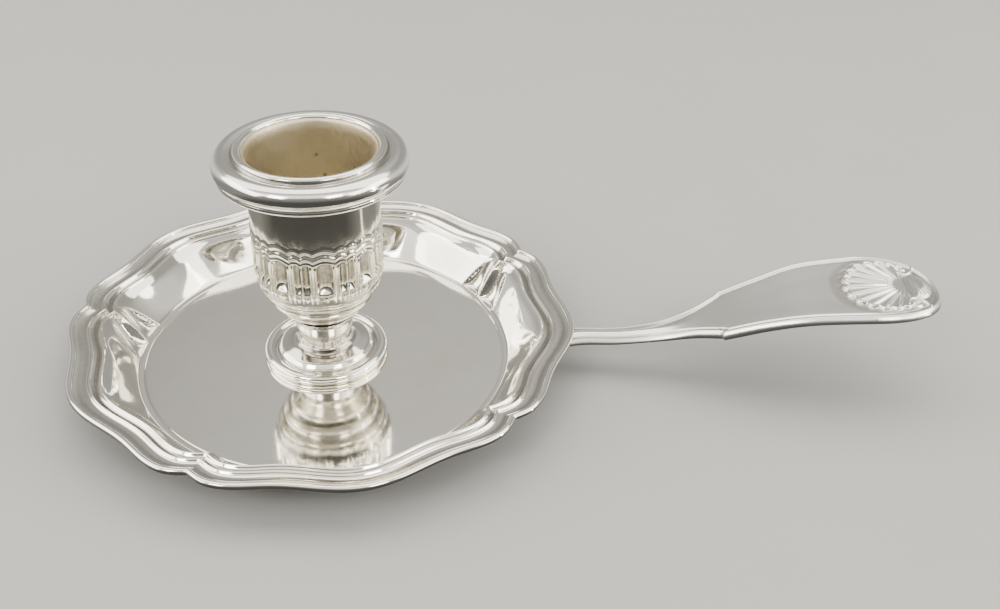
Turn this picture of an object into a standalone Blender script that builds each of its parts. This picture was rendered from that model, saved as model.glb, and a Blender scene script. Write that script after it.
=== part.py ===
"""Silver chamberstick: a lobed dish, a short fluted candle cup with a lift-out drip ring, and a flat handle.

Metres, +Z up. The origin is on the candle's axis, on the dish's flat underside,
and the handle points along +X.
"""
import math

import bmesh
import bpy

MM = 0.001
GAP = 0.3 * MM                    # clearance left between pieces that touch

# Dish: a flat round well, a steep wall, and a five-lobed border that rises slightly outwards
SHEET = 0.9 * MM                  # thickness of the dish's metal
WELL_R = 40.0 * MM
RIM_R = 54.4 * MM                 # middle radius of the lobed outline, to the wire's outer side
LOBES = 5
LOBE_STEPS = 16                   # faces round one lobe
NOTCH_R = 53.0 * MM               # sharp dip between two lobes
BUMP_R = 54.5 * MM                # shoulder beside each dip
HOLLOW_R = 52.9 * MM              # shallow hollow between a shoulder and the lobe's corner
APEX_R = 54.9 * MM                # soft corner in the middle of a lobe
BUMP_ANGLE = math.radians(6)      # these two are measured from the dip
HOLLOW_ANGLE = math.radians(19)
WIRE_R = 0.7 * MM                 # half the thickness of the border's edge wire
WIRE_Z = 9.75 * MM                # height of the wire's middle
WALL_TOP_R = 47.2 * MM

# Candle foot, neck and cup, all turned round the candle's axis
FOOT_R = 13.6 * MM
FOOT_TOP = 5.0 * MM
FOOT_WALL = 0.8 * MM
STUD_R = 2.5 * MM
STUD_HOLE_R = STUD_R + GAP
COLLAR_R = 5.8 * MM
COLLAR_TOP = 8.4 * MM
STEM_R = 6.2 * MM
STEM_TOP = 12.0 * MM
NECK_STEPS = 28
CUP_R = 13.4 * MM
CUP_WALL = 0.55 * MM
CUP_TOP = 49.2 * MM
PANELS = 18                       # chased panels round the cup
PANEL_STEPS = 3
RIDGE_SHARE = 0.1                 # half of a ridge's width, as a share of a panel
FLUTE_DEPTH = 0.3 * MM
FLUTE_BOTTOM = 22.6 * MM
FLUTE_TOP = 31.5 * MM
SEAT_R = 11.7 * MM                # disc that the candle stands on
SEAT_Z = 22.8 * MM
SEAT_THICKNESS = 0.8 * MM

# Lift-out drip ring and the sleeve under it
RING_WALL = 0.6 * MM
RING_R = 19.6 * MM
RING_TOP = 51.8 * MM
MOUTH_R = 13.4 * MM
SLEEVE_R = 12.55 * MM
SLEEVE_WALL = 0.45 * MM
SLEEVE_BOTTOM = 34.0 * MM
RING_STEPS = 36

# Handle: a narrow neck under the rim that widens at two small shoulders into a flat blade
NECK_HALF = 2.8 * MM              # half widths
SHOULDER_HALF = 7.4 * MM
BLADE_ROOT_HALF = 8.2 * MM
BLADE_HALF = 12.2 * MM
SHOULDER_X = 85.0 * MM
BLADE_X = 115.0 * MM              # widest place, where the rounded end starts
BLADE_Z = 24.2 * MM
HANDLE_END_X = 131.2 * MM
ROOT_SLANT = 0.85                 # how far the root's end leans back, to follow the dish's wall
SECTION_POINTS = 12
SHOE_THICKNESS = 1.1 * MM         # plate that joins the handle to the dish's wall
SHOE_HALF_ANGLE = math.radians(9)


def clear_scene():
    for obj in list(bpy.data.objects):
        bpy.data.objects.remove(obj, do_unlink=True)


def make_material(name, colour, roughness):
    material = bpy.data.materials.new(name)
    material.use_nodes = True
    shader = material.node_tree.nodes["Principled BSDF"]
    shader.inputs["Base Color"].default_value = (*colour, 1.0)
    shader.inputs["Metallic"].default_value = 1.0
    shader.inputs["Roughness"].default_value = roughness
    return material


def finish_object(obj, colour, roughness):
    """Put a sub-part in the collection with its own material and smooth round faces."""
    collection = bpy.data.collections.get("chamberstick")
    if collection is None:
        collection = bpy.data.collections.new("chamberstick")
        bpy.context.scene.collection.children.link(collection)
    for other in list(obj.users_collection):
        other.objects.unlink(obj)
    collection.objects.link(obj)
    obj.data.materials.clear()
    obj.data.materials.append(make_material(obj.name + "_metal", colour, roughness))
    if obj.type == "MESH":
        obj.data.shade_smooth()
        obj.data.set_sharp_from_angle(angle=math.radians(40))
    return obj


def turned(name, profile, steps, closed=False, angle=2 * math.pi):
    """A profile of (radius, height) points swept round Z by a Screw modifier."""
    mesh = bpy.data.meshes.new(name)
    edges = [(i, i + 1) for i in range(len(profile) - 1)]
    if closed:
        edges.append((len(profile) - 1, 0))
    mesh.from_pydata([(r, 0.0, z) for r, z in profile], edges, [])
    obj = bpy.data.objects.new(name, mesh)
    bpy.context.scene.collection.objects.link(obj)
    screw = obj.modifiers.new("turn", "SCREW")
    screw.axis = "Z"
    screw.angle = angle
    screw.steps = steps
    screw.render_steps = steps
    screw.use_merge_vertices = True
    screw.merge_threshold = 0.00001
    screw.use_smooth_shade = True
    return obj


def as_mesh(obj):
    """Apply an object's modifiers and keep its name."""
    depsgraph = bpy.context.evaluated_depsgraph_get()
    name = obj.name
    mesh = bpy.data.meshes.new_from_object(obj.evaluated_get(depsgraph))
    bpy.data.objects.remove(obj, do_unlink=True)
    made = bpy.data.objects.new(name, mesh)
    bpy.context.scene.collection.objects.link(made)
    return made


def add_thickness(obj, thickness):
    """Turn an open surface into a shell, thickened inwards."""
    solidify = obj.modifiers.new("thickness", "SOLIDIFY")
    solidify.thickness = thickness
    solidify.offset = -1.0
    solidify.use_even_offset = True
    solidify.use_quality_normals = True


def offset_profile(points, distance):
    """Shift a profile sideways, to the right of its direction, with mitred corners."""
    shifted = []
    for i, (r, z) in enumerate(points):
        before = points[max(i - 1, 0)]
        after = points[min(i + 1, len(points) - 1)]
        normals = []
        for start, end in ((before, (r, z)), ((r, z), after)):
            dr, dz = end[0] - start[0], end[1] - start[1]
            length = math.hypot(dr, dz)
            if length > 0:
                normals.append((dz / length, -dr / length))
        nr = sum(n[0] for n in normals) / len(normals)
        nz = sum(n[1] for n in normals) / len(normals)
        scale = distance / (nr * nr + nz * nz)
        shifted.append((r + nr * scale, z + nz * scale))
    return shifted


def arc(centre, radius, start, end, count):
    """Points on a circle in the profile plane, angles in degrees from +R towards +Z."""
    angles = [math.radians(start + (end - start) * i / (count - 1)) for i in range(count)]
    return [(centre[0] + radius * math.cos(a), centre[1] + radius * math.sin(a)) for a in angles]


def ease(t):
    t = min(max(t, 0.0), 1.0)
    return t * t * (3 - 2 * t)


def blend(a, b, t):
    """From a to b along half a cosine wave."""
    return a + (b - a) * (1 - math.cos(math.pi * t)) / 2


def rim_radius(theta):
    """The dish's outline: five lobes, each with a soft corner, between sharp dips."""
    lobe = 2 * math.pi / LOBES
    from_dip = abs((theta + lobe / 2) % lobe)
    from_dip = min(from_dip, lobe - from_dip)
    if from_dip < BUMP_ANGLE:
        return NOTCH_R + (BUMP_R - NOTCH_R) * math.sin(from_dip / BUMP_ANGLE * math.pi / 2)
    if from_dip < HOLLOW_ANGLE:
        return blend(BUMP_R, HOLLOW_R, (from_dip - BUMP_ANGLE) / (HOLLOW_ANGLE - BUMP_ANGLE))
    return blend(HOLLOW_R, APEX_R, (from_dip - HOLLOW_ANGLE) / (lobe / 2 - HOLLOW_ANGLE))


def give_lobes(mesh):
    """Move a turned mesh in or out so that its border follows the lobed outline."""
    for vertex in mesh.vertices:
        x, y, _ = vertex.co
        radius = math.hypot(x, y)
        if radius > WELL_R:
            share = ease((radius - WELL_R) / (WALL_TOP_R - WELL_R))
            theta = math.atan2(y, x)
            scale = 1 + share * (rim_radius(theta) - RIM_R) / radius
            vertex.co.x *= scale
            vertex.co.y *= scale


# The dish's wall from the well's edge up to the border, and the border's two ridges
WALL = [(WELL_R, SHEET), (40.9 * MM, 1.3 * MM), (41.9 * MM, 2.5 * MM), (44.0 * MM, 5.4 * MM),
        (45.8 * MM, 7.6 * MM), (WALL_TOP_R, 8.9 * MM)]
BORDER = [(47.8 * MM, 9.3 * MM), (48.7 * MM, 8.9 * MM), (49.9 * MM, 9.6 * MM), (50.9 * MM, 9.3 * MM),
          (52.7 * MM, WIRE_Z)]


def build_dish():
    top = [(0.0, SHEET), (FOOT_R + GAP, SHEET)] + WALL + BORDER
    under = offset_profile([(0.0, SHEET)] + WALL + [BORDER[1], BORDER[-1]], SHEET)
    obj = turned("dish", top + under[::-1], LOBES * LOBE_STEPS)
    obj = as_mesh(obj)
    give_lobes(obj.data)
    finish_object(obj, (0.86, 0.84, 0.80), 0.08)


def build_border_wire():
    curve = bpy.data.curves.new("border_wire", "CURVE")
    curve.dimensions = "3D"
    curve.bevel_depth = WIRE_R
    curve.bevel_resolution = 1
    curve.resolution_u = 1
    curve.render_resolution_u = 0
    count = LOBES * LOBE_STEPS
    spline = curve.splines.new("POLY")
    spline.points.add(count - 1)
    spline.use_cyclic_u = True
    for i, point in enumerate(spline.points):
        theta = 2 * math.pi * i / count
        radius = rim_radius(theta) - WIRE_R
        point.co = (radius * math.cos(theta), radius * math.sin(theta), WIRE_Z, 1.0)
    obj = bpy.data.objects.new("border_wire", curve)
    bpy.context.scene.collection.objects.link(obj)
    finish_object(obj, (0.88, 0.86, 0.82), 0.12)


def build_handle_shoe():
    """A curved plate against the outside of the dish's wall, under the lobe at +X."""
    surface = offset_profile(WALL, SHEET + GAP)[2:5]
    obj = turned("handle_shoe", surface, 6, angle=2 * SHOE_HALF_ANGLE)
    obj.rotation_euler.z = -SHOE_HALF_ANGLE
    bpy.context.view_layer.update()
    turn = obj.matrix_world.copy()
    obj = as_mesh(obj)
    obj.data.transform(turn)
    give_lobes(obj.data)
    add_thickness(obj, SHOE_THICKNESS)
    finish_object(obj, (0.80, 0.78, 0.74), 0.2)


def build_foot():
    """A pressed dome with a step and a heavy bead round its edge."""
    bead_r = 1.15 * MM
    bead = arc((FOOT_R - bead_r, SHEET + GAP + bead_r), bead_r, 70, -80, 5)
    outer = [(STUD_HOLE_R, FOOT_TOP), (COLLAR_R + 0.2 * MM, FOOT_TOP), (8.5 * MM, 4.4 * MM),
             (10.2 * MM, 3.2 * MM), (10.9 * MM, 2.3 * MM)] + bead
    obj = turned("foot", outer, RING_STEPS)
    add_thickness(obj, FOOT_WALL)
    finish_object(obj, (0.86, 0.84, 0.80), 0.1)


def build_neck():
    collar = [(STUD_HOLE_R, COLLAR_TOP), (COLLAR_R - 0.2 * MM, COLLAR_TOP),
              (COLLAR_R, COLLAR_TOP - 0.2 * MM), (COLLAR_R, FOOT_TOP + GAP), (STUD_HOLE_R, FOOT_TOP + GAP)]
    finish_object(turned("foot_collar", collar, NECK_STEPS, closed=True), (0.84, 0.82, 0.78), 0.12)
    stem_bottom = COLLAR_TOP + GAP
    stem = [(STUD_HOLE_R, STEM_TOP), (6.8 * MM, STEM_TOP), (6.3 * MM, STEM_TOP - 0.7 * MM),
            (STEM_R, STEM_TOP - 1.4 * MM),
            (STEM_R, stem_bottom + 0.2 * MM), (STEM_R - 0.2 * MM, stem_bottom), (STUD_HOLE_R, stem_bottom)]
    finish_object(turned("cup_stem", stem, NECK_STEPS, closed=True), (0.84, 0.82, 0.78), 0.12)
    stud_bottom = FOOT_TOP - FOOT_WALL
    stud_top = STEM_TOP - GAP
    bpy.ops.mesh.primitive_cylinder_add(vertices=20, radius=STUD_R, depth=stud_top - stud_bottom,
                                        location=(0, 0, (stud_top + stud_bottom) / 2))
    bpy.context.object.name = "neck_stud"
    finish_object(bpy.context.object, (0.75, 0.62, 0.35), 0.3)


def flute_cup(mesh):
    """Press the chased panels in between ridges, on the part of the cup that carries them."""
    for vertex in mesh.vertices:
        x, y, z = vertex.co
        if FLUTE_BOTTOM < z < FLUTE_TOP:
            panel = math.atan2(y, x) / (2 * math.pi) * PANELS
            if abs(panel - round(panel)) > RIDGE_SHARE:
                radius = math.hypot(x, y)
                vertex.co.x *= 1 - FLUTE_DEPTH / radius
                vertex.co.y *= 1 - FLUTE_DEPTH / radius


def build_cup():
    """A closed-bottomed cup: a plain band, a band of upright flutes, and a rounded bottom."""
    floor_z = STEM_TOP + GAP
    panels = [(CUP_R, FLUTE_TOP + 0.6 * MM), (CUP_R, FLUTE_TOP - 0.4 * MM),
              (CUP_R - 0.1 * MM, FLUTE_BOTTOM + 0.4 * MM), (CUP_R - 0.5 * MM, FLUTE_BOTTOM - 0.8 * MM)]
    bowl = [(12.1 * MM, 19.5 * MM), (10.5 * MM, 16.6 * MM), (8.6 * MM, 14.1 * MM), (6.9 * MM, floor_z)]
    outer = [(CUP_R, CUP_TOP)] + panels + bowl + [(0.0, floor_z)]
    obj = turned("cup", outer, PANELS * PANEL_STEPS)
    obj = as_mesh(obj)
    flute_cup(obj.data)
    add_thickness(obj, CUP_WALL)
    finish_object(obj, (0.86, 0.84, 0.80), 0.1)


def build_candle_seat():
    bpy.ops.mesh.primitive_cylinder_add(vertices=RING_STEPS, radius=SEAT_R, depth=SEAT_THICKNESS,
                                        location=(0, 0, SEAT_Z - SEAT_THICKNESS / 2))
    bpy.context.object.name = "candle_seat"
    finish_object(bpy.context.object, (0.72, 0.62, 0.42), 0.35)


def build_drip_ring():
    """A hollow ring, open underneath: inner lip, groove, fat roll and a thin bead at its lower edge."""
    lip_r = 0.8 * MM
    lip = arc((14.5 * MM, RING_TOP - lip_r), lip_r, 130, 20, 3)
    roll_r = 2.4 * MM
    roll = arc((RING_R - roll_r, 48.6 * MM), roll_r, 115, -45, 6)
    bead = arc((18.3 * MM, 46.3 * MM), 0.7 * MM, 30, -80, 3)
    outer = [(MOUTH_R, 51.5 * MM)] + lip + [(15.9 * MM, 50.6 * MM)] + roll + bead
    obj = turned("drip_ring", outer, RING_STEPS)
    add_thickness(obj, RING_WALL)
    finish_object(obj, (0.88, 0.86, 0.82), 0.08)


def build_drip_ring_sleeve():
    """The tube under the drip ring: a flared mouth that rests on the cup's edge, open at both ends."""
    outer = [(14.1 * MM, 50.0 * MM), (13.2 * MM, 49.9 * MM), (SLEEVE_R, 48.9 * MM),
             (SLEEVE_R, SLEEVE_BOTTOM)]
    obj = turned("drip_ring_sleeve", outer, RING_STEPS)
    add_thickness(obj, SLEEVE_WALL)
    finish_object(obj, (0.72, 0.62, 0.42), 0.3)


def smooth_through(points, per_span):
    """Catmull-Rom points through a list of equal-length tuples."""
    out = []
    for i in range(len(points) - 1):
        p0 = points[max(i - 1, 0)]
        p1, p2 = points[i], points[i + 1]
        p3 = points[min(i + 2, len(points) - 1)]
        for step in range(per_span):
            t = step / per_span
            out.append(tuple(0.5 * (2 * b + (c - a) * t + (2 * a - 5 * b + 4 * c - d) * t * t
                                    + (3 * b - a - 3 * c + d) * t ** 3)
                             for a, b, c, d in zip(p0, p1, p2, p3)))
    out.append(points[-1])
    return out


def handle_stations():
    """(x, height of the top, half width, thickness) from the root to the rounded end."""
    neck = smooth_through([(50.6 * MM, 7.6 * MM, 3.6 * MM, 2.8 * MM),
                           (56.5 * MM, 8.6 * MM, NECK_HALF, 3.0 * MM),
                           (65.0 * MM, 9.1 * MM, NECK_HALF, 2.8 * MM),
                           (73.0 * MM, 10.7 * MM, 3.4 * MM, 2.6 * MM),
                           (80.0 * MM, 13.3 * MM, 4.9 * MM, 2.3 * MM),
                           (SHOULDER_X, 15.4 * MM, SHOULDER_HALF, 2.0 * MM)], 2)
    blade = smooth_through([(SHOULDER_X + 0.4 * MM, 15.6 * MM, BLADE_ROOT_HALF, 2.0 * MM),
                            (94.0 * MM, 19.3 * MM, 9.5 * MM, 1.9 * MM),
                            (103.0 * MM, 22.4 * MM, 11.2 * MM, 1.8 * MM),
                            (BLADE_X, BLADE_Z, BLADE_HALF, 1.8 * MM)], 2)
    end = []
    reach = HANDLE_END_X - BLADE_X
    for degrees in (22, 42, 58, 71, 81, 88):
        along = math.sin(math.radians(degrees))
        end.append((BLADE_X + reach * along, BLADE_Z + 0.3 * MM * along - 0.6 * MM * along ** 6,
                    BLADE_HALF * math.cos(math.radians(degrees)) ** 0.9, 1.8 * MM))
    return neck + blade + end


def build_handle():
    """A loft of flattened sections along the handle's rising line."""
    stations = handle_stations()
    mesh = bmesh.new()
    rings = []
    for i, (x, z, half, thickness) in enumerate(stations):
        before, after = stations[max(i - 1, 0)], stations[min(i + 1, len(stations) - 1)]
        slope = math.atan2(after[1] - before[1], after[0] - before[0])
        ring = []
        for k in range(SECTION_POINTS):
            a = 2 * math.pi * (k + 0.5) / SECTION_POINTS
            across = half * math.copysign(abs(math.cos(a)) ** 0.45, math.cos(a))
            up = thickness / 2 * (math.copysign(abs(math.sin(a)) ** 0.6, math.sin(a)) - 1)
            lean = up * ROOT_SLANT if i == 0 else -up * math.sin(slope)
            ring.append(mesh.verts.new((x + lean, across, z + up * math.cos(slope))))
        rings.append(ring)
    for first, second in zip(rings, rings[1:]):
        for k in range(SECTION_POINTS):
            following = (k + 1) % SECTION_POINTS
            mesh.faces.new((first[k], first[following], second[following], second[k]))
    mesh.faces.new(rings[0][::-1])
    mesh.faces.new(rings[-1])
    bmesh.ops.recalc_face_normals(mesh, faces=mesh.faces)
    data = bpy.data.meshes.new("handle")
    mesh.to_mesh(data)
    mesh.free()
    obj = bpy.data.objects.new("handle", data)
    bpy.context.scene.collection.objects.link(obj)
    finish_object(obj, (0.84, 0.83, 0.80), 0.18)


def main():
    clear_scene()
    build_dish()
    build_border_wire()
    build_handle_shoe()
    build_foot()
    build_neck()
    build_cup()
    build_candle_seat()
    build_drip_ring()
    build_drip_ring_sleeve()
    build_handle()


main()
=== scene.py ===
"""Looks of the silver chamberstick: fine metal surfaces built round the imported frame.

Lengths are in millimetres until a mesh is made. The frame is the CAD model's: the candle's axis
is Z, the dish's underside is z = 0, and the handle points along +X.
"""
import math

import bpy
import numpy as np
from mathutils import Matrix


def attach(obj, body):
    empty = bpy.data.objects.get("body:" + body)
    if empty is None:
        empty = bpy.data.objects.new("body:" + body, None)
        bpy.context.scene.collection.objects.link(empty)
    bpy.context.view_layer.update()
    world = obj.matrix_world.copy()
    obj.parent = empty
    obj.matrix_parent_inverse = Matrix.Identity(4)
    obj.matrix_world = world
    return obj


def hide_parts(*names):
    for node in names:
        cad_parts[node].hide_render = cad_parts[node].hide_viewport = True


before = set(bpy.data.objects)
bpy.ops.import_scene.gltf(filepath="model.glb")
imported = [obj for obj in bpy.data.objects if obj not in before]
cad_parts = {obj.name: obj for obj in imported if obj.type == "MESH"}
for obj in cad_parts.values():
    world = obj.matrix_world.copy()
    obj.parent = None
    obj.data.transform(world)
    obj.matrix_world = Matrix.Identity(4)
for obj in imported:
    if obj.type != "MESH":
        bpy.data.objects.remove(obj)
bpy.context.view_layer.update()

MM = 0.001                        # metres
FINE = 0.15                       # usual length of a face along a turned profile

# Dish, as in the CAD model
SHEET = 0.9
WELL_R = 40.0
WALL_TOP_R = 47.2
RIM_R = 54.4
LOBES = 5
NOTCH_R = 53.0
BUMP_R = 54.5
HOLLOW_R = 52.9
APEX_R = 54.9
BUMP_ANGLE = math.radians(6)
HOLLOW_ANGLE = math.radians(19)
WIRE_R = 0.7
WIRE_Z = 9.75
DISH_COLUMNS = 720
BORDER_LINES = [(47.8, 0.50, 0.34), (49.9, 0.55, 0.36), (48.85, -0.42, 0.48), (51.8, -0.22, 1.0),
                (39.5, -0.07, 0.22)]   # (radius, rise, half width) of the ridges and grooves pressed in it

# Foot and neck
FOOT_COLUMNS = 240
NECK_COLUMNS = 200

# Cup
CUP_R = 13.4
CUP_WALL = 0.55
CUP_TOP = 49.2
CUP_FLOOR = 12.3
PANELS = 18
PANEL = 2 * math.pi / PANELS
PANEL_PHASE = math.radians(-74)   # middle of one of the wide flutes
CUP_COLUMNS = PANELS * 60
WAVE_RISE = 0.70                  # of the wavy lines over the middle of a panel
WAVY_LINES = [(34.2, 0.20, 0.34), (33.35, -0.10, 0.30), (32.6, 0.24, 0.42), (31.4, 0.14, 0.26)]
BOWL_RINGS = [(19.4, 0.16, 0.36), (18.2, -0.42, 0.50), (16.9, 0.26, 0.5), (15.7, -0.22, 0.4),
              (14.5, 0.22, 0.4)]       # both lists: (height, rise, half width) from the top down

# Drip ring and sleeve
RING_COLUMNS = 400
VALLEY_R = 15.5                   # middle of the groove between its lip and its roll
SLEEVE_COLUMNS = 360
SLEEVE_R = 12.1                   # of the lining near the pits
PIT_HALF = 0.32                   # half width of a pit
PITS = [(math.radians(97), 43.2), (math.radians(90), 38.6), (math.radians(103), 37.6)]  # (angle, height)

# Handle
SHOULDER_X = 85.0
BLADE_X = 115.0
BLADE_Z = 24.2                    # height of the blade's top at its widest
BLADE_HALF = 12.2
BLADE_THICK = 1.8
HANDLE_END_X = 131.2
ROOT_SLANT = 0.85                 # how far the root leans with the dish's wall
NECK_STEP = 0.25                  # between sections of the neck
BLADE_STEP = 0.12
FACE_COLUMNS = 220
UNDER_COLUMNS = 40
EDGE_ROLL = 0.95                  # width of the rounded edge that rolls over to the underside
EDGE_RISE = 0.22                  # how far the underside rises at the edge
FACE_SINK = 0.38                  # how far the plain face lies under the handle's line
HINGE_X = 123.4                   # where the shell's ribs meet
SHELL_REACH = 13.0
RIBS = 13
SCROLL = [(127.4, 9.2), (127.2, 8.0), (126.7, 6.6), (125.8, 5.2), (124.6, 4.5), (123.4, 4.9), (122.9, 6.0),
          (123.3, 7.2), (124.3, 7.6), (125.0, 7.0), (124.9, 6.2), (124.3, 6.0)]  # (x, |y|), edge inwards
SHOE_HALF_ANGLE = math.radians(9)


# ---------------------------------------------------------------- curves and small formulas

def ease(t):
    """0 up to t = 0, 1 from t = 1, and a smooth step between."""
    t = np.clip(t, 0.0, 1.0)
    return t * t * (3 - 2 * t)


def bell(distance, width):
    """1 at no distance, and about a third at the width."""
    return np.exp(-(distance / width) ** 2)


def lines_relief(place, lines):
    """Sum of the rounded ridges and grooves (centre, rise, half width) at each place."""
    return sum(rise * bell(place - centre, width) for centre, rise, width in lines)


def smooth_through(points, step):
    """Catmull-Rom points through a list of equal-length tuples, about a step apart in the first two."""
    points = [np.array(p, float) for p in points]
    out = []
    for i in range(len(points) - 1):
        p0, p1 = points[max(i - 1, 0)], points[i]
        p2, p3 = points[i + 1], points[min(i + 2, len(points) - 1)]
        count = max(2, math.ceil(np.hypot(*(p2 - p1)[:2]) / step))
        for t in np.arange(count) / count:
            out.append(0.5 * (2 * p1 + (p2 - p0) * t + (2 * p0 - 5 * p1 + 4 * p2 - p3) * t ** 2
                              + (3 * p1 - p0 - 3 * p2 + p3) * t ** 3))
    out.append(points[-1])
    return np.array(out)


def divided(points, step):
    """The same broken line with no piece of it longer than a step."""
    out = [points[0]]
    for start, end in zip(points[:-1], points[1:]):
        count = max(1, math.ceil(np.linalg.norm(end - start) / step))
        out += [start + (end - start) * (i + 1) / count for i in range(count)]
    return np.array(out)


def rounded(corners, step=FINE):
    """A profile through (radius, height, fillet radius) corners, each rounded by its fillet."""
    points = []
    for i, (r, z, fillet) in enumerate(corners):
        here = np.array((r, z))
        if fillet == 0 or i in (0, len(corners) - 1):
            points.append(here)
            continue
        back = np.array(corners[i - 1][:2]) - here
        on = np.array(corners[i + 1][:2]) - here
        back_length, on_length = np.linalg.norm(back), np.linalg.norm(on)
        back, on = back / back_length, on / on_length
        half = math.acos(np.clip(back @ on, -1, 1)) / 2
        reach = min(fillet / math.tan(half), back_length / 2, on_length / 2)
        radius = reach * math.tan(half)
        middle = back + on
        centre = here + middle / np.linalg.norm(middle) * radius / math.sin(half)
        turn = math.pi - 2 * half
        count = max(3, math.ceil(radius * turn / step), math.ceil(turn / 0.2))
        first, last = here + back * reach - centre, here + on * reach - centre
        for t in np.arange(count + 1) / count:
            mixed = first * math.sin((1 - t) * turn) + last * math.sin(t * turn)
            points.append(centre + mixed / math.sin(turn))
    return divided(np.array(points), step)


def arc(centre, radius, start, end, step=FINE):
    """Points on a circle in the profile plane, angles in degrees from +R towards +Z."""
    sweep = math.radians(end - start)
    count = max(4, math.ceil(radius * abs(sweep) / step))
    angles = math.radians(start) + sweep * np.arange(count + 1) / count
    return np.stack([centre[0] + radius * np.cos(angles), centre[1] + radius * np.sin(angles)], 1)


def side_normals(profile):
    """Unit normals to the right of a profile's direction."""
    along = np.gradient(profile, axis=0)
    normal = np.stack([along[:, 1], -along[:, 0]], 1)
    return normal / np.linalg.norm(normal, axis=1, keepdims=True)


# ---------------------------------------------------------------- meshes

def grid_object(name, body, points, material, nodes, loop_rows=False, shade_and_tarnish=None):
    """A closed smooth mesh from rows of points in millimetres, which replaces CAD nodes.

    Each row closes on itself, and with loop_rows the last row joins the first. Otherwise a first or
    last row whose points coincide becomes one vertex. The last argument is 0 to 1 for each point,
    and the material's colour darkens there, as painted shade and as tarnish.
    """
    rows, columns = points.shape[:2]
    index = np.arange(rows * columns).reshape(rows, columns)
    for end in (0, rows - 1):
        if not loop_rows and np.ptp(points[end].reshape(-1, 3), axis=0).max() < 1e-6:
            index[end] = index[end, 0]
    used, index = np.unique(index, return_inverse=True)
    index = index.reshape(rows, columns)
    if loop_rows:
        index = np.concatenate([index, index[:1]])
    index = np.concatenate([index, index[:, :1]], axis=1)
    quads = np.stack([index[:-1, :-1], index[:-1, 1:], index[1:, 1:], index[1:, :-1]], -1).reshape(-1, 4)
    vertices = points.reshape(-1, 3)[used]
    a, b, c, d = (vertices[quads[:, k]] for k in range(4))
    if np.einsum("ij,ij->", a, np.cross(b, c) + np.cross(c, d)) < 0:
        quads = quads[:, ::-1]
    faces = [list(dict.fromkeys(quad)) for quad in quads.tolist()]
    mesh = bpy.data.meshes.new(name)
    mesh.from_pydata((vertices * MM).tolist(), [], faces)
    mesh.shade_smooth()
    shade = np.zeros(len(used)) if shade_and_tarnish is None else shade_and_tarnish.reshape(-1)[used]
    # Painted shade and tarnish: how far the material's colour darkens at each point.
    attribute = mesh.attributes.new("shade_and_tarnish", "FLOAT", "POINT")
    attribute.data.foreach_set("value", np.clip(shade, 0, 1).astype(np.float32))
    mesh.materials.append(material)
    obj = bpy.data.objects.new(name, mesh)
    bpy.context.scene.collection.objects.link(obj)
    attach(obj, body)
    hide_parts(*nodes)
    return obj


def turned_points(profile, columns, radius_of=None):
    """A profile of (radius, height) turned round Z, as rows of points."""
    theta = 2 * math.pi * np.arange(columns) / columns
    radius = np.repeat(profile[:, :1], columns, axis=1)
    if radius_of is not None:
        radius = radius_of(radius, theta[None, :])
    height = np.repeat(profile[:, 1:2], columns, axis=1)
    return np.stack([radius * np.cos(theta), radius * np.sin(theta), height], -1)


def capped(sections):
    """The sections with a row at each end where they close to one point."""
    first = np.repeat(sections[:1].mean(axis=1, keepdims=True), sections.shape[1], axis=1)
    last = np.repeat(sections[-1:].mean(axis=1, keepdims=True), sections.shape[1], axis=1)
    return np.concatenate([first, sections, last])


# ---------------------------------------------------------------- materials

WAVE_DEPTH = 0.03                 # of the faint hammer waves, in mm
SCRATCH_DEPTH = 0.0015            # in mm
SCRATCH_LOW, SCRATCH_HIGH = 0.68, 0.74  # noise below the first is clean, above the second scratched
SHADE_AND_TARNISH_ROUGHNESS = 0.16             # added to the roughness where the painted shade and tarnish are fully dark


def add_node(tree, kind, inputs=None, **settings):
    """A shader node, its inputs given as values or as sockets to link from."""
    made = tree.nodes.new(kind)
    for key, value in settings.items():
        setattr(made, key, value)
    for key, value in (inputs or {}).items():
        if isinstance(value, bpy.types.NodeSocket):
            tree.links.new(value, made.inputs[key])
        else:
            made.inputs[key].default_value = value
    return made


def ramp_between(tree, value, low, high, to_low=0.0, to_high=1.0):
    """The value mapped straight from one range to another and held at its ends."""
    inputs = {"Value": value, "From Min": low, "From Max": high, "To Min": to_low, "To Max": to_high}
    return add_node(tree, "ShaderNodeMapRange", inputs).outputs["Result"]


def mix_colours(tree, share, first, second):
    """The first colour where share is 0, the second where it is 1."""
    mixed = add_node(tree, "ShaderNodeMix", data_type="RGBA")
    for socket, value in zip((mixed.inputs[0], mixed.inputs[6], mixed.inputs[7]), (share, first, second)):
        if isinstance(value, bpy.types.NodeSocket):
            tree.links.new(value, socket)
        else:
            socket.default_value = value
    return mixed.outputs[2]


def arithmetic(tree, operation, first, second):
    return add_node(tree, "ShaderNodeMath", {0: first, 1: second}, operation=operation).outputs[0]


def cloudy_noise(tree, place, scale, detail, roughness=0.5):
    inputs = {"Vector": place, "Scale": scale, "Detail": detail, "Roughness": roughness}
    return add_node(tree, "ShaderNodeTexNoise", inputs).outputs["Fac"]


def hairlines(tree, coordinates, turn, across, along):
    """Sparse fine scratches in one direction: 0 on clean metal, 1 in a scratch."""
    stretched = add_node(tree, "ShaderNodeMapping", {"Vector": coordinates, "Rotation": turn,
                                                     "Scale": (along, across, across)})
    return ramp_between(tree, cloudy_noise(tree, stretched.outputs[0], 1.0, 2.0), SCRATCH_LOW, SCRATCH_HIGH)


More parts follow.
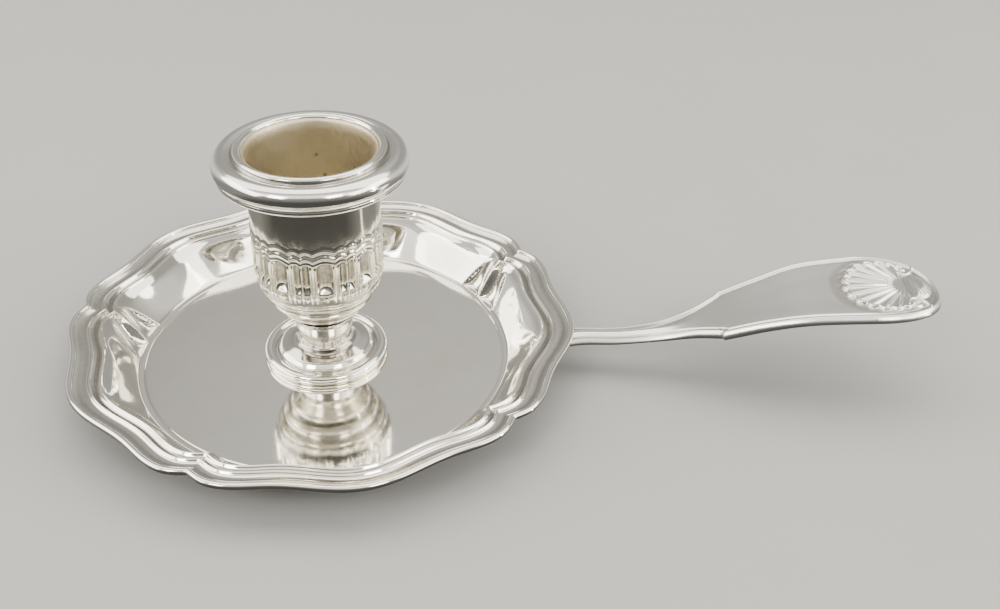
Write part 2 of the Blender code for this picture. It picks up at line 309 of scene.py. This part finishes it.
def metal(name, clean, stained, shade_and_tarnish_colour, roughness, unevenness, scratches=0.05, crevice_shade=0.5):
    """A polished or satin metal with cloudy stains, painted shade and tarnish darkening its recesses and
    crevices, and fine scratches.

    unevenness is how far the roughness wanders, scratches is how much rougher a scratch is, and
    the last argument is how dark the painted shade in the sharpest crevices is.
    """
    material = bpy.data.materials.new(name)
    material.use_nodes = True
    tree = material.node_tree
    shader = tree.nodes["Principled BSDF"]
    shader.inputs["Metallic"].default_value = 1.0
    place = add_node(tree, "ShaderNodeTexCoord").outputs["Object"]
    cloud = cloudy_noise(tree, place, 55.0, 5.0, 0.6)
    speckle = cloudy_noise(tree, place, 900.0, 3.0)
    # Painted shade, partly tarnish: the per-point darkening from the mesh and the low pointiness of crevices
    # mix the colour towards the dark tone.
    shade_and_tarnish = add_node(tree, "ShaderNodeAttribute", attribute_name="shade_and_tarnish").outputs["Fac"]
    edge = add_node(tree, "ShaderNodeNewGeometry").outputs["Pointiness"]
    shaded_crevices = ramp_between(tree, edge, 0.40, 0.48, crevice_shade, 0.0)
    stain = ramp_between(tree, cloud, 0.42, 0.72)
    all_shade_and_tarnish = arithmetic(tree, "MAXIMUM", shade_and_tarnish, shaded_crevices)
    broken_shade_and_tarnish = arithmetic(tree, "MULTIPLY", all_shade_and_tarnish, ramp_between(tree, speckle, 0.2, 0.7, 0.7, 1.0))
    base = mix_colours(tree, stain, (*clean, 1.0), (*stained, 1.0))
    colour = mix_colours(tree, broken_shade_and_tarnish, base, (*shade_and_tarnish_colour, 1.0))
    tree.links.new(colour, shader.inputs["Base Color"])

    first = hairlines(tree, place, (0.0, 0.3, 0.6), 2600.0, 60.0)
    second = hairlines(tree, place, (0.4, 0.0, -1.0), 2100.0, 45.0)
    lines = arithmetic(tree, "MAXIMUM", first, second)
    wander = ramp_between(tree, speckle, 0.3, 0.7, roughness - unevenness, roughness + unevenness)
    smeared = arithmetic(tree, "MULTIPLY_ADD", stain, unevenness)
    tree.links.new(wander, smeared.node.inputs[2])
    scratched = arithmetic(tree, "MULTIPLY_ADD", lines, scratches)
    tree.links.new(smeared, scratched.node.inputs[2])
    dirty = arithmetic(tree, "MULTIPLY_ADD", broken_shade_and_tarnish, SHADE_AND_TARNISH_ROUGHNESS)
    tree.links.new(scratched, dirty.node.inputs[2])
    tree.links.new(dirty, shader.inputs["Roughness"])

    waves = cloudy_noise(tree, place, 110.0, 1.0)
    soft = add_node(tree, "ShaderNodeBump", {"Strength": 1.0, "Distance": WAVE_DEPTH * MM, "Height": waves})
    fine = add_node(tree, "ShaderNodeBump", {"Strength": 5 * scratches, "Distance": SCRATCH_DEPTH * MM,
                                             "Height": lines, "Normal": soft.outputs["Normal"]}, invert=True)
    tree.links.new(fine.outputs["Normal"], shader.inputs["Normal"])
    return material


# The third colour of each metal is the dark tone of its painted shade and tarnish.
POLISHED = metal("polished_silver", clean=(0.93, 0.91, 0.86), stained=(0.89, 0.86, 0.79),
                 shade_and_tarnish_colour=(0.20, 0.175, 0.145), roughness=0.07, unevenness=0.02)
WORN = metal("worn_silver", clean=(0.93, 0.915, 0.875), stained=(0.90, 0.875, 0.825),
             shade_and_tarnish_colour=(0.18, 0.155, 0.125), roughness=0.13, unevenness=0.03)
CHASED = metal("chased_silver", clean=(0.92, 0.90, 0.82), stained=(0.87, 0.84, 0.74),
               shade_and_tarnish_colour=(0.10, 0.09, 0.06), roughness=0.09, unevenness=0.012, scratches=0.02, crevice_shade=0.3)
SATIN = metal("satin_silver", clean=(0.92, 0.91, 0.87), stained=(0.89, 0.88, 0.83),
              shade_and_tarnish_colour=(0.17, 0.155, 0.135), roughness=0.27, unevenness=0.0, scratches=0.0, crevice_shade=0.0)
GILT = metal("gilt_lining", clean=(0.74, 0.68, 0.54), stained=(0.66, 0.60, 0.46),
             shade_and_tarnish_colour=(0.10, 0.08, 0.05), roughness=0.45, unevenness=0.05, scratches=0.04)
BRASS = metal("bare_brass", clean=(0.78, 0.62, 0.33), stained=(0.62, 0.46, 0.24),
              shade_and_tarnish_colour=(0.16, 0.11, 0.06), roughness=0.3, unevenness=0.08)


# ---------------------------------------------------------------- dish

def rim_radius(theta):
    """The dish's outline: five lobes, each with a soft corner, between sharp dips."""
    lobe = 2 * math.pi / LOBES
    from_dip = dip_distance(theta)
    near = NOTCH_R + (BUMP_R - NOTCH_R) * np.sin(np.clip(from_dip / BUMP_ANGLE, 0, 1) * math.pi / 2)
    middle_share = (from_dip - BUMP_ANGLE) / (HOLLOW_ANGLE - BUMP_ANGLE)
    middle = BUMP_R + (HOLLOW_R - BUMP_R) * (1 - np.cos(math.pi * middle_share)) / 2
    far_share = (from_dip - HOLLOW_ANGLE) / (lobe / 2 - HOLLOW_ANGLE)
    far = HOLLOW_R + (APEX_R - HOLLOW_R) * (1 - np.cos(math.pi * far_share)) / 2
    return np.where(from_dip < BUMP_ANGLE, near, np.where(from_dip < HOLLOW_ANGLE, middle, far))


def dip_distance(theta):
    """Angle to the nearest dip between two lobes."""
    lobe = 2 * math.pi / LOBES
    past = (theta + lobe / 2) % lobe
    return np.minimum(past, lobe - past)


def lobed(radius, theta):
    """Where the lobes, the folds under the dips and the pockets beside them move a radius to.

    The folds and pockets are in the wall only, and fade out at its foot and its top.
    """
    up_wall = np.clip((radius - WELL_R) / (WALL_TOP_R - WELL_R), 0, 1)
    moved = radius + ease(up_wall) * (rim_radius(theta) - RIM_R)
    from_dip = np.degrees(dip_distance(theta))
    fold = np.clip(1 - from_dip / 2.4, 0, 1) ** 1.3 * np.sin(math.pi * up_wall ** 0.6)
    pocket_half = 1.3 + 3.4 * (1 - up_wall) ** 0.7
    pocket = np.clip(1 - ((from_dip - 0.3 - pocket_half) / pocket_half) ** 2, 0, 1) ** 0.9
    pocket = pocket * np.sin(math.pi * up_wall ** 0.45)
    return moved + 1.5 * pocket - 0.5 * fold


def dish_profile():
    """The metal's top surface without its ridges, from the centre out."""
    well = divided(np.array([(0.0, SHEET), (WELL_R - 2.0, SHEET)]), 2.0)
    wall = smooth_through([(WELL_R - 1.8, SHEET), (WELL_R + 0.1, SHEET), (40.55, 1.0), (40.95, 1.4),
                           (41.9, 2.6), (44.0, 5.3), (45.8, 7.5), (WALL_TOP_R, 8.75)], 0.15)
    border = smooth_through([(WALL_TOP_R + 0.1, 8.8), (49.0, 9.1), (51.0, 9.3), (52.4, 9.6),
                             (53.4, WIRE_Z)], 0.12)
    return np.concatenate([well, wall, border])


def build_dish():
    surface = dish_profile()
    under = surface + side_normals(surface) * SHEET
    under = under[under[:, 0] >= 0]
    top = surface.copy()
    top[:, 1] += lines_relief(surface[:, 0], BORDER_LINES)
    profile = np.concatenate([top, under[::-1][::3], [[0.0, under[0, 1]]]])
    points = turned_points(profile, DISH_COLUMNS, lobed)
    on_top = np.arange(len(profile)) < len(top)
    # Painted shade: the border's grooves are darkened.
    depth = np.clip(-lines_relief(profile[:, 0], BORDER_LINES) / 0.35, 0, 1) * 0.7 * on_top
    shade_and_tarnish = np.repeat(depth[:, None], DISH_COLUMNS, axis=1)
    grid_object("dish_metal", "base", points, POLISHED, ["dish"], shade_and_tarnish=shade_and_tarnish)


def build_border_wire():
    theta = 2 * math.pi * np.arange(DISH_COLUMNS) / DISH_COLUMNS
    around = 2 * math.pi * np.arange(20) / 20
    centre = rim_radius(theta) - WIRE_R
    radius = centre[:, None] + WIRE_R * np.cos(around)
    height = WIRE_Z + WIRE_R * np.sin(around) + 0 * radius
    points = np.stack([radius * np.cos(theta)[:, None], radius * np.sin(theta)[:, None], height], -1)
    grid_object("edge_wire", "base", points, POLISHED, ["border_wire"], loop_rows=True)


def build_handle_shoe():
    """A curved plate on the outside of the wall, under the handle's root, with softened edges."""
    wall = smooth_through([(41.9, 2.5), (44.0, 5.4), (45.8, 7.6)], FINE)
    inner = wall + side_normals(wall) * (SHEET + 0.02)
    outer = wall + side_normals(wall) * (SHEET + 1.4)
    middle = (inner + outer) / 2
    loop = rounded([(*inner[2], 0), (*inner[-2], 0.3), (*outer[-4], 0.5), (*middle[-20], 0),
                    (*outer[4], 0.5), (*inner[2], 0)], 0.2)
    theta = SHOE_HALF_ANGLE * np.linspace(-1, 1, 61)
    radius = lobed(np.repeat(loop[None, :-1, 0], len(theta), axis=0), theta[:, None])
    height = np.repeat(loop[None, :-1, 1], len(theta), axis=0)
    points = np.stack([radius * np.cos(theta)[:, None], radius * np.sin(theta)[:, None], height], -1)
    grid_object("root_shoe", "base", capped(points), SATIN, ["handle_shoe"])


# ---------------------------------------------------------------- foot, neck and cup

def build_foot():
    """The foot's dome with its bead; painted shade from the cup above darkens it close to the stem."""
    dome = rounded([(4.0, 5.0, 0), (7.2, 4.95, 4.0), (9.6, 4.1, 1.2), (10.35, 3.3, 0.25), (10.75, 2.3, 0.4),
                    (11.4, 2.05, 0)])
    bead = arc((12.35, 2.12), 1.24, 160, -88)
    outer = np.concatenate([dome, bead[1:]])
    inner = rounded([(12.0, 0.9, 0), (11.2, 1.2, 0.3), (9.4, 2.6, 0.5), (8.0, 4.0, 0.5), (4.0, 4.2, 0)])
    profile = np.concatenate([outer, inner])
    # Painted shade under the cup, darkest close to the stem.
    under_cup_shade = np.repeat(0.5 * bell(profile[:, :1] - 5.2, 2.2), FOOT_COLUMNS, axis=1)
    grid_object("foot_dome", "base", turned_points(profile, FOOT_COLUMNS), POLISHED,
                ["foot"], loop_rows=True, shade_and_tarnish=under_cup_shade)


def build_neck():
    """The foot's collar and the cup's stem, both evenly darkened by painted shade under the cup."""
    collar = rounded([(2.8, 8.4, 0), (5.8, 8.4, 0.18), (5.75, 6.2, 0.6), (6.0, 5.4, 0.5), (6.9, 4.85, 0),
                      (2.8, 4.9, 0)])
    stem = rounded([(2.8, 12.25, 0), (7.3, 12.25, 0.1), (6.7, 11.6, 0.5), (6.25, 10.8, 0.9),
                    (6.2, 8.55, 0.2), (2.8, 8.55, 0)])
    for name, profile, node in [("foot_collar_ring", collar, "foot_collar"),
                                ("cup_stem_tube", stem, "cup_stem")]:
        points = turned_points(profile, NECK_COLUMNS)
        # Painted shade: evenly darkened under the cup.
        under_cup_shade = np.full(points.shape[:2], 0.4)
        grid_object(name, "base", points, POLISHED, [node], loop_rows=True, shade_and_tarnish=under_cup_shade)


def panel_places(theta):
    """(angle in degrees from the middle of its chased panel, whether the panel is a wide flute)."""
    turns = (theta - PANEL_PHASE) / PANEL
    number = np.round(turns)
    return np.degrees((turns - number) * PANEL), number % 2 == 0


def chasing(theta, z):
    """Relief of the cup's ornament in mm, outwards positive: wavy lines, flutes, ridges and rings."""
    half_panel = math.degrees(PANEL) / 2
    place, wide = panel_places(theta)
    side = np.abs(place)
    twin = np.abs(side - 3.7)
    arch = np.where(wide, np.cos(place / half_panel * math.pi / 2) ** 1.3,
                    0.8 * np.abs(np.sin(place / half_panel * math.pi)) ** 0.8)
    relief = lines_relief(z - WAVE_RISE * arch, WAVY_LINES)
    low_line = WAVY_LINES[-1][0] + WAVE_RISE * arch

    in_flutes = ease((low_line - 0.25 - z) / 0.8)
    scoop = np.sin(np.clip((z - 24.5) / 1.6, 0, 1) * math.pi / 2)
    wide_flute = np.clip(1 - (side / 7.0) ** 2, 0, 1) ** 0.8
    twin_flute = np.clip(1 - (twin / 3.2) ** 2, 0, 1) ** 0.8
    relief -= in_flutes * scoop * np.where(wide, 1.08 * wide_flute, 0.75 * twin_flute)
    upright = in_flutes * ease((z - 21.9) / 1.0)
    relief += upright * 0.20 * bell(side - (half_panel - 2.1), 0.95)
    relief += upright * np.where(wide, 0.0, 0.14 * bell(place, 0.8))

    tongue = np.where(wide, bell(side, 3.0), bell(twin, 1.8))
    relief += 0.20 * tongue * bell(z - 23.2, 0.6)
    relief += 0.30 * bell(z - 20.5 - 0.25 * arch, 0.36)
    return relief + lines_relief(z, BOWL_RINGS)


def build_cup():
    """The cup with its chasing; painted shade and tarnish darken the flutes and the grooves, and painted
    shade the bowl's plain ground.
    """
    band = divided(np.array([(CUP_R - 0.25, CUP_TOP), (CUP_R, CUP_TOP - 0.25), (CUP_R, 35.6)]), 0.8)
    chased = divided(np.array([(CUP_R, 35.5), (CUP_R, 25.6)]), 0.17)
    bowl = smooth_through([(CUP_R, 25.5), (13.35, 23.4), (12.95, 21.8), (12.1, 19.5), (10.5, 16.6),
                           (8.6, 14.1), (6.9, CUP_FLOOR + 0.05)], 0.16)
    outer = np.concatenate([band, chased, bowl])
    level = outer[:, 1:2]
    theta = 2 * math.pi * np.arange(CUP_COLUMNS) / CUP_COLUMNS
    relief = chasing(theta[None, :], level) * ease((36.5 - level) / 1.5) * ease(level - CUP_FLOOR)
    normal = -side_normals(outer)
    radius = outer[:, :1] + normal[:, :1] * relief
    height = level + normal[:, 1:] * relief
    skin = np.stack([radius * np.cos(theta), radius * np.sin(theta), height], -1)
    inside = rounded([(0.0, CUP_FLOOR + 0.6, 0), (6.6, CUP_FLOOR + 0.6, 1.0), (10.1, 17.2, 4.0),
                      (12.0, 21.5, 2.0), (12.2, 24.0, 1.0), (12.25, 31.5, 1.0), (12.75, 34.0, 1.0),
                      (CUP_R - CUP_WALL, CUP_TOP, 0)], 0.8)
    under = np.array([(4.0, CUP_FLOOR), (0.0, CUP_FLOOR)])
    rows = np.concatenate([turned_points(inside, CUP_COLUMNS), skin, turned_points(under, CUP_COLUMNS)])
    shade = np.zeros(rows.shape[:2])
    # Painted shade, partly tarnish, in the flutes and grooves, and painted shade on the bowl's plain ground;
    # the flutes' scooped ends stay light.
    flute_shade = np.clip(-relief / 0.5, 0, 1) * 0.62 * ease((level - 26.2) / 0.8)
    cup_groove_shade = np.clip(-relief / 0.22, 0, 1) * 0.8 * ease((22.0 - level) / 1.0)
    plain_ground_shade = np.clip((0.13 - relief) / 0.10, 0, 1) * 0.6 * ease((24.6 - level) / 0.8)
    shade[len(inside):len(inside) + len(outer)] = np.maximum(np.maximum(flute_shade, cup_groove_shade), plain_ground_shade)
    grid_object("cup_chased", "base", rows, CHASED, ["cup"], shade_and_tarnish=shade)


def build_candle_seat():
    """A disc in the cup with shallow turned rings on it."""
    seat_r, top_z, under_z = 11.9, 22.8, 22.05
    radius = np.linspace(0, seat_r, 90)
    height = top_z - 0.05 * (1 + np.sin(radius * 7.0)) * ease(radius / 0.8)
    top = np.stack([radius, height], 1)
    points = turned_points(np.concatenate([top, [[seat_r, under_z], [0.0, under_z]]]), 120)
    grid_object("candle_seat_disc", "base", points, GILT, ["candle_seat"])


# ---------------------------------------------------------------- drip ring

def build_drip_ring():
    """Inner lip, groove darkened by painted shade, fat roll and thin bead, hollow underneath."""
    lip = arc((14.5, 50.98), 0.8, 150, 15)
    valley = rounded([tuple(lip[-1]) + (0,), (15.45, 50.62, 0.25), (16.1, 50.72, 0)], 0.1)
    roll = arc((17.2, 48.6), 2.4, 116, -46)
    bead = arc((18.25, 46.35), 0.72, 40, -100)
    outer = np.concatenate([np.array([(13.42, 51.0)]), lip, valley[1:-1], roll, bead])
    inner = rounded([(17.9, 45.9, 0), (17.6, 46.9, 0.4), (18.6, 48.4, 0.8), (17.2, 50.2, 1.2),
                     (14.6, 50.2, 0.5), (13.9, 50.6, 0.2), (13.42, 51.0, 0)], 0.3)
    profile = np.concatenate([outer, inner[:-1]])
    # Painted shade in the groove between the lip and the roll.
    valley_shade = 0.75 * bell(profile[:, :1] - VALLEY_R, 0.32) * (profile[:, 1:2] > 50.4)
    grid_object("drip_ring_roll", "drip_ring", turned_points(profile, RING_COLUMNS), WORN,
                ["drip_ring"], loop_rows=True, shade_and_tarnish=np.repeat(valley_shade, RING_COLUMNS, axis=1))


def build_sleeve():
    """The tube under the ring, with a few tiny pits in its lining."""
    outer = rounded([(13.9, 50.55, 0), (13.3, 50.1, 0.3), (12.83, 49.3, 0.5), (12.8, 46.0, 2.0),
                     (12.55, 34.0, 0)], 0.3)
    inner = smooth_through([(12.1, 34.0), (12.2, 38.0), (12.45, 43.0), (12.65, 47.0), (12.73, 49.0),
                            (12.9, 50.1), (13.15, 50.8), (13.5, 51.1)], 0.3)
    profile = np.concatenate([outer, inner])
    points = turned_points(profile, SLEEVE_COLUMNS)
    shade_and_tarnish = np.zeros(points.shape[:2])
    theta = 2 * math.pi * np.arange(SLEEVE_COLUMNS) / SLEEVE_COLUMNS
    is_inner = np.arange(len(profile)) >= len(outer)
    for angle, height in PITS:
        across = (theta[None, :] - angle) * SLEEVE_R
        up = profile[:, 1:2] - height
        shade_and_tarnish += is_inner[:, None] * bell(np.hypot(across, up), PIT_HALF)
    grid_object("sleeve_tube", "drip_ring", points, GILT, ["drip_ring_sleeve"],
                loop_rows=True, shade_and_tarnish=shade_and_tarnish)


# ---------------------------------------------------------------- handle

def handle_line():
    """(x, height of the top, half width, thickness) from the root to the rounded end, finely spaced."""
    neck = smooth_through([(50.6, 7.6, 3.6, 2.8), (56.5, 8.6, 2.8, 3.0), (65.0, 9.1, 2.8, 2.8),
                           (73.0, 10.7, 3.4, 2.6), (80.0, 13.3, 4.9, 2.3),
                           (SHOULDER_X, 15.4, 7.4, 2.0)], NECK_STEP)
    blade = smooth_through([(SHOULDER_X + 0.4, 15.6, 8.2, 2.0), (94.0, 19.3, 9.5, 1.9),
                            (103.0, 22.4, 11.2, 1.8),
                            (BLADE_X, BLADE_Z, BLADE_HALF, BLADE_THICK)], BLADE_STEP)
    turn = np.radians(np.linspace(0.5, 89.5, 190))
    along = np.sin(turn)
    reach = HANDLE_END_X - BLADE_X
    end = np.stack([BLADE_X + reach * along, BLADE_Z + 1.2 * along - 1.5 * along ** 3,
                    BLADE_HALF * np.cos(turn) ** 0.9 + 0.65 * along * np.cos(turn),
                    np.full(turn.shape, BLADE_THICK)], 1)
    return np.concatenate([neck, blade, end])


def edge_distance(x, y, line):
    """Distance of each point from the handle's outline."""
    outline = np.stack([line[:, 0], line[:, 2]], 1)
    outline = np.concatenate([outline, [[HANDLE_END_X, 0.0]]])
    found = np.full(x.shape, np.inf)
    for start, end in zip(outline[:-1], outline[1:]):
        low, high = min(start[0], end[0]) - 3, max(start[0], end[0]) + 3
        near = (x[:, 0] > low) & (x[:, 0] < high)
        px, py = x[near] - start[0], np.abs(y[near]) - start[1]
        ex, ey = end - start
        t = np.clip((px * ex + py * ey) / max(ex * ex + ey * ey, 1e-12), 0, 1)
        found[near] = np.minimum(found[near], np.hypot(px - t * ex, py - t * ey))
    return found


def shell_relief(x, y):
    """The shell: thin ribs fanning towards the dish over hollow flutes, inside a scalloped border."""
    rib_angle = math.radians(180 / RIBS)
    phi = np.arctan2(y, HINGE_X - x)
    spread = np.clip(np.abs(phi) / (math.pi / 2), 0, 1.2)
    rho = np.hypot(y, HINGE_X - x)
    from_rib = np.abs((phi / rib_angle + 0.5) % 1.0 - 0.5)
    limit = SHELL_REACH - 5.4 * spread ** 2.2 - 0.75 * (2 * from_rib) ** 2 * ease((rho - 6.0) / 3.0)
    facing = ease((math.radians(99) - np.abs(phi)) / 0.15)
    inside = ease((limit - rho) / 0.5)
    rib = 0.28 * bell(from_rib * rib_angle * rho, 0.30)
    flute = -0.26 * np.sin(math.pi * from_rib) ** 0.8
    fan = ease((rho - 1.8) / 2.5) * ease((limit - 0.9 - rho) / 0.7) * (rib + flute)
    border = 0.24 * bell(rho - limit + 0.45, 0.32) * ease((rho - 4.0) / 2.0)
    moat = 0.14 * bell(rho - limit - 0.25, 0.35)
    return facing * (inside * (0.34 + fan) + border - moat)


def palmette_relief(x, y):
    """The finely ribbed dome beyond the shell, and the hollow round it."""
    dx, dy = (x - 125.2) / 3.9, y / 4.5
    rho = np.hypot(dx, dy)
    ahead = ease((x - 124.6) / 0.9)
    dome = np.sqrt(np.clip(1 - rho ** 2, 0, 1))
    ribs = 0.06 * np.cos(np.arctan2(dy, dx) * 22) * ease((rho - 0.35) / 0.3)
    return ahead * (dome * (0.95 + ribs) - 0.30 * bell(rho - 1.15, 0.16))


def scroll_relief(x, y):
    """A small hooked scroll on each side of the hinge, whose tail runs out to the rounded edge."""
    curve = smooth_through(SCROLL, 0.25)
    found = np.full(x.shape, 9.0)
    near = (x > HINGE_X - 2) & (x < HINGE_X + 6) & (np.abs(y) > 3.5)
    for px, py in curve:
        found[near] = np.minimum(found[near], np.hypot(x[near] - px, np.abs(y[near]) - py))
    return 0.46 * bell(found, 0.29)


def handle_relief(x, y, line):
    """Relief on the handle's upper face in mm, and how much painted shade darkens each point round the shell
    and in the neck's grooves.
    """
    distance = edge_distance(x, y, line)
    half = np.interp(x, line[:, 0], line[:, 2])
    narrow = np.clip(half / 4.0, 0.35, 1.0)
    thread = 0.24 * bell(distance - narrow, 0.45 * narrow) - 0.14 * bell(distance - 1.8 * narrow, 0.30)
    in_neck = 1 - ease((x - 68.0) / 15.0)
    neck_groove = in_neck * bell(np.abs(y) - 0.56 * half, 0.12 * half)
    rib = 0.55 * in_neck * bell(y, 0.30 * half) - 0.34 * neck_groove
    sag = -0.12 * ease((distance - 1.8) / 6.0) * ease((x - 84.0) / 10.0)
    scroll = scroll_relief(x, y) * ease((distance - 0.2) / 1.4) - 0.05
    ornament = np.maximum(shell_relief(x, y) + palmette_relief(x, y), scroll)
    near_shell = ease((x - 107.5) / 1.5)
    from_shell = np.hypot(x - 119.0, y) / 11.0
    # Painted shade round the shell's outline, and in the neck's grooves in the return below.
    shade_and_tarnish = near_shell * ease((1.06 - from_shell) / 0.12) * np.clip((0.26 - ornament) / 0.3, 0, 1) * 0.5
    return thread + rib + sag + near_shell * ornament, np.maximum(shade_and_tarnish, 0.6 * neck_groove)


def build_handle():
    """A loft of sections: a finely modelled upper face with rolled edges, and a plain underside."""
    line = handle_line()
    spread = np.linspace(1, -1, FACE_COLUMNS)
    across = (0.5 * np.sin(spread * math.pi / 2) + 0.5 * spread)[None, :]
    x, top, half, thickness = (line[:, k:k + 1] for k in range(4))
    slope = np.arctan2(np.gradient(line[:, 1]), np.gradient(line[:, 0]))[:, None]
    face = half * across
    relief, shade_and_tarnish = handle_relief(x + 0 * face, face, line)
    distance = np.minimum(edge_distance(x + 0 * face, face, line), half * (1 - np.abs(across)) * 1.5)
    roll = np.clip(1 - distance / np.minimum(EDGE_ROLL, half * 0.4), 0, 1)
    in_neck = 1 - ease((x - 70.0) / 20.0)
    edge_drop = (thickness - FACE_SINK - EDGE_RISE) * (1 - 0.62 * in_neck)
    face_up = relief * (1 - roll ** 2) - FACE_SINK - edge_drop * (1 - np.sqrt(1 - roll ** 2))
    under = np.linspace(-1, 1, UNDER_COLUMNS + 2)[None, 1:-1]
    keel = 0.55 * in_neck
    under_up = -thickness * (1 - keel * np.abs(under) ** 1.5) + EDGE_RISE * np.abs(under) ** 8
    sideways = np.concatenate([face, half * under], axis=1)
    up = np.concatenate([face_up, under_up], axis=1)
    lean = np.where(x < line[0, 0] + 1e-6, up * ROOT_SLANT, -up * np.sin(slope))
    points = np.stack([x + lean, sideways, top + up * np.cos(slope)], -1)
    shade = np.zeros(points.shape[:2])
    shade[:, :FACE_COLUMNS] = shade_and_tarnish
    shade = np.concatenate([shade[:1], shade, shade[-1:]])
    blade = grid_object("handle_blade", "base", capped(points), SATIN, ["handle"],
                        shade_and_tarnish=shade)
    blade.data.set_sharp_from_angle(angle=math.radians(50))


# ---------------------------------------------------------------- camera, floor and light (metres)

CAMERA_LENS = 37.99
CAMERA_PLACE = (0.04215, -0.18823, 0.14459)
CAMERA_TURN = (0.968398, -0.025477, 0.036699)
FLOOR_HALF = 3.0
SKY_AXIS = (0.0, 0.64, 0.77)      # up and behind the object
SKY_STOPS = [(-1.0, 0.045), (-0.62, 0.05), (-0.30, 0.13), (0.05, 0.13), (0.27, 0.38), (0.45, 0.38),
             (0.68, 0.20), (0.88, 0.18), (0.985, 0.29)]  # (how far along the axis, grey)
SKY_STRENGTH = 2.0
LAMP_COLOUR = (1.0, 0.962, 0.885)
SOFTBOXES = [  # (name, place, (width, depth), watts, what it points at)
    ("overhead", (0.03, 0.25, 0.80), (2.30, 0.70), 9.0, (0.03, 0.26, 0.0)),
    ("front overhead", (0.03, -0.58, 0.70), (2.30, 0.50), 2.4, (0.03, -0.57, 0.0)),
    ("front left", (-0.42, -0.62, 0.62), (0.26, 0.30), 1.5, (0.02, 0.0, 0.02)),
    ("front right", (0.46, -0.62, 0.62), (0.26, 0.30), 1.5, (0.02, 0.0, 0.02)),
    ("left", (-0.80, -0.15, 0.42), (0.90, 0.42), 3.2, (0.02, 0.0, 0.02)),
    ("right", (0.86, -0.15, 0.42), (0.90, 0.42), 3.2, (0.02, 0.0, 0.02)),
    ("strip", (0.60, -0.10, 0.10), (0.02, 0.35), 0.4, (0.02, 0.0, 0.02)),
]


def build_camera():
    data = bpy.data.cameras.new("camera")
    data.lens = CAMERA_LENS
    data.sensor_width = 36.0
    data.clip_start = 0.01
    camera = bpy.data.objects.new("camera", data)
    camera.location = CAMERA_PLACE
    camera.rotation_euler = CAMERA_TURN
    bpy.context.scene.collection.objects.link(camera)
    bpy.context.scene.camera = camera
    bpy.context.scene.view_settings.view_transform = "AgX"
    bpy.context.scene.view_settings.look = "AgX - Medium High Contrast"


def build_floor():
    """A pale floor that the metal doesn't mirror."""
    material = bpy.data.materials.new("pale_floor")
    material.use_nodes = True
    tree = material.node_tree
    place = add_node(tree, "ShaderNodeTexCoord").outputs["Object"]
    grain = cloudy_noise(tree, place, 25.0, 6.0)
    colour = mix_colours(tree, grain, (0.43, 0.434, 0.434, 1.0), (0.455, 0.455, 0.451, 1.0))
    tree.links.new(colour, tree.nodes["Principled BSDF"].inputs["Base Color"])
    tree.nodes["Principled BSDF"].inputs["Roughness"].default_value = 0.85
    mesh = bpy.data.meshes.new("floor")
    signs = [(-1, -1), (1, -1), (1, 1), (-1, 1)]
    mesh.from_pydata([(FLOOR_HALF * x, FLOOR_HALF * y, 0) for x, y in signs], [], [(0, 1, 2, 3)])
    mesh.materials.append(material)
    floor = bpy.data.objects.new("floor", mesh)
    floor.visible_glossy = False
    bpy.context.scene.collection.objects.link(floor)


def grey_ramp(tree, value, stops):
    """A colour ramp of warm greys over a value from -1 to 1."""
    ramp = add_node(tree, "ShaderNodeValToRGB", {"Fac": ramp_between(tree, value, -1.0, 1.0)})
    elements = ramp.color_ramp.elements
    while len(elements) < len(stops):
        elements.new(0.5)
    for element, (height, grey) in zip(elements, stops):
        element.position = (height + 1) / 2
        element.color = (grey, grey * 0.978, grey * 0.935, 1.0)
    return ramp.outputs["Color"]


def build_world():
    """A studio that is dark in front and below, with a pale band from high in front down both sides."""
    world = bpy.data.worlds.new("studio")
    world.use_nodes = True
    tree = world.node_tree
    direction = add_node(tree, "ShaderNodeTexCoord").outputs["Generated"]
    along = add_node(tree, "ShaderNodeVectorMath", {0: direction, 1: SKY_AXIS}, operation="DOT_PRODUCT")
    colour = grey_ramp(tree, along.outputs["Value"], SKY_STOPS)
    tree.links.new(colour, tree.nodes["Background"].inputs["Color"])
    tree.nodes["Background"].inputs["Strength"].default_value = SKY_STRENGTH
    bpy.context.scene.world = world


def build_lights():
    for name, place, (width, depth), watts, target in SOFTBOXES:
        data = bpy.data.lights.new(name, "AREA")
        data.shape = "RECTANGLE"
        data.size = width
        data.size_y = depth
        data.energy = watts
        data.color = LAMP_COLOUR
        lamp = bpy.data.objects.new(name, data)
        lamp.location = place
        dx, dy, dz = (b - a for a, b in zip(place, target))
        lamp.rotation_euler = (math.atan2(math.hypot(dx, dy), -dz), 0.0, math.atan2(dy, dx) - math.pi / 2)
        bpy.context.scene.collection.objects.link(lamp)


build_camera()
build_floor()
build_world()
build_lights()
build_dish()
build_border_wire()
build_handle_shoe()
build_foot()
build_neck()
build_cup()
build_candle_seat()
build_drip_ring()
build_sleeve()
build_handle()
for slot_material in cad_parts["neck_stud"].material_slots:
    slot_material.material = BRASS
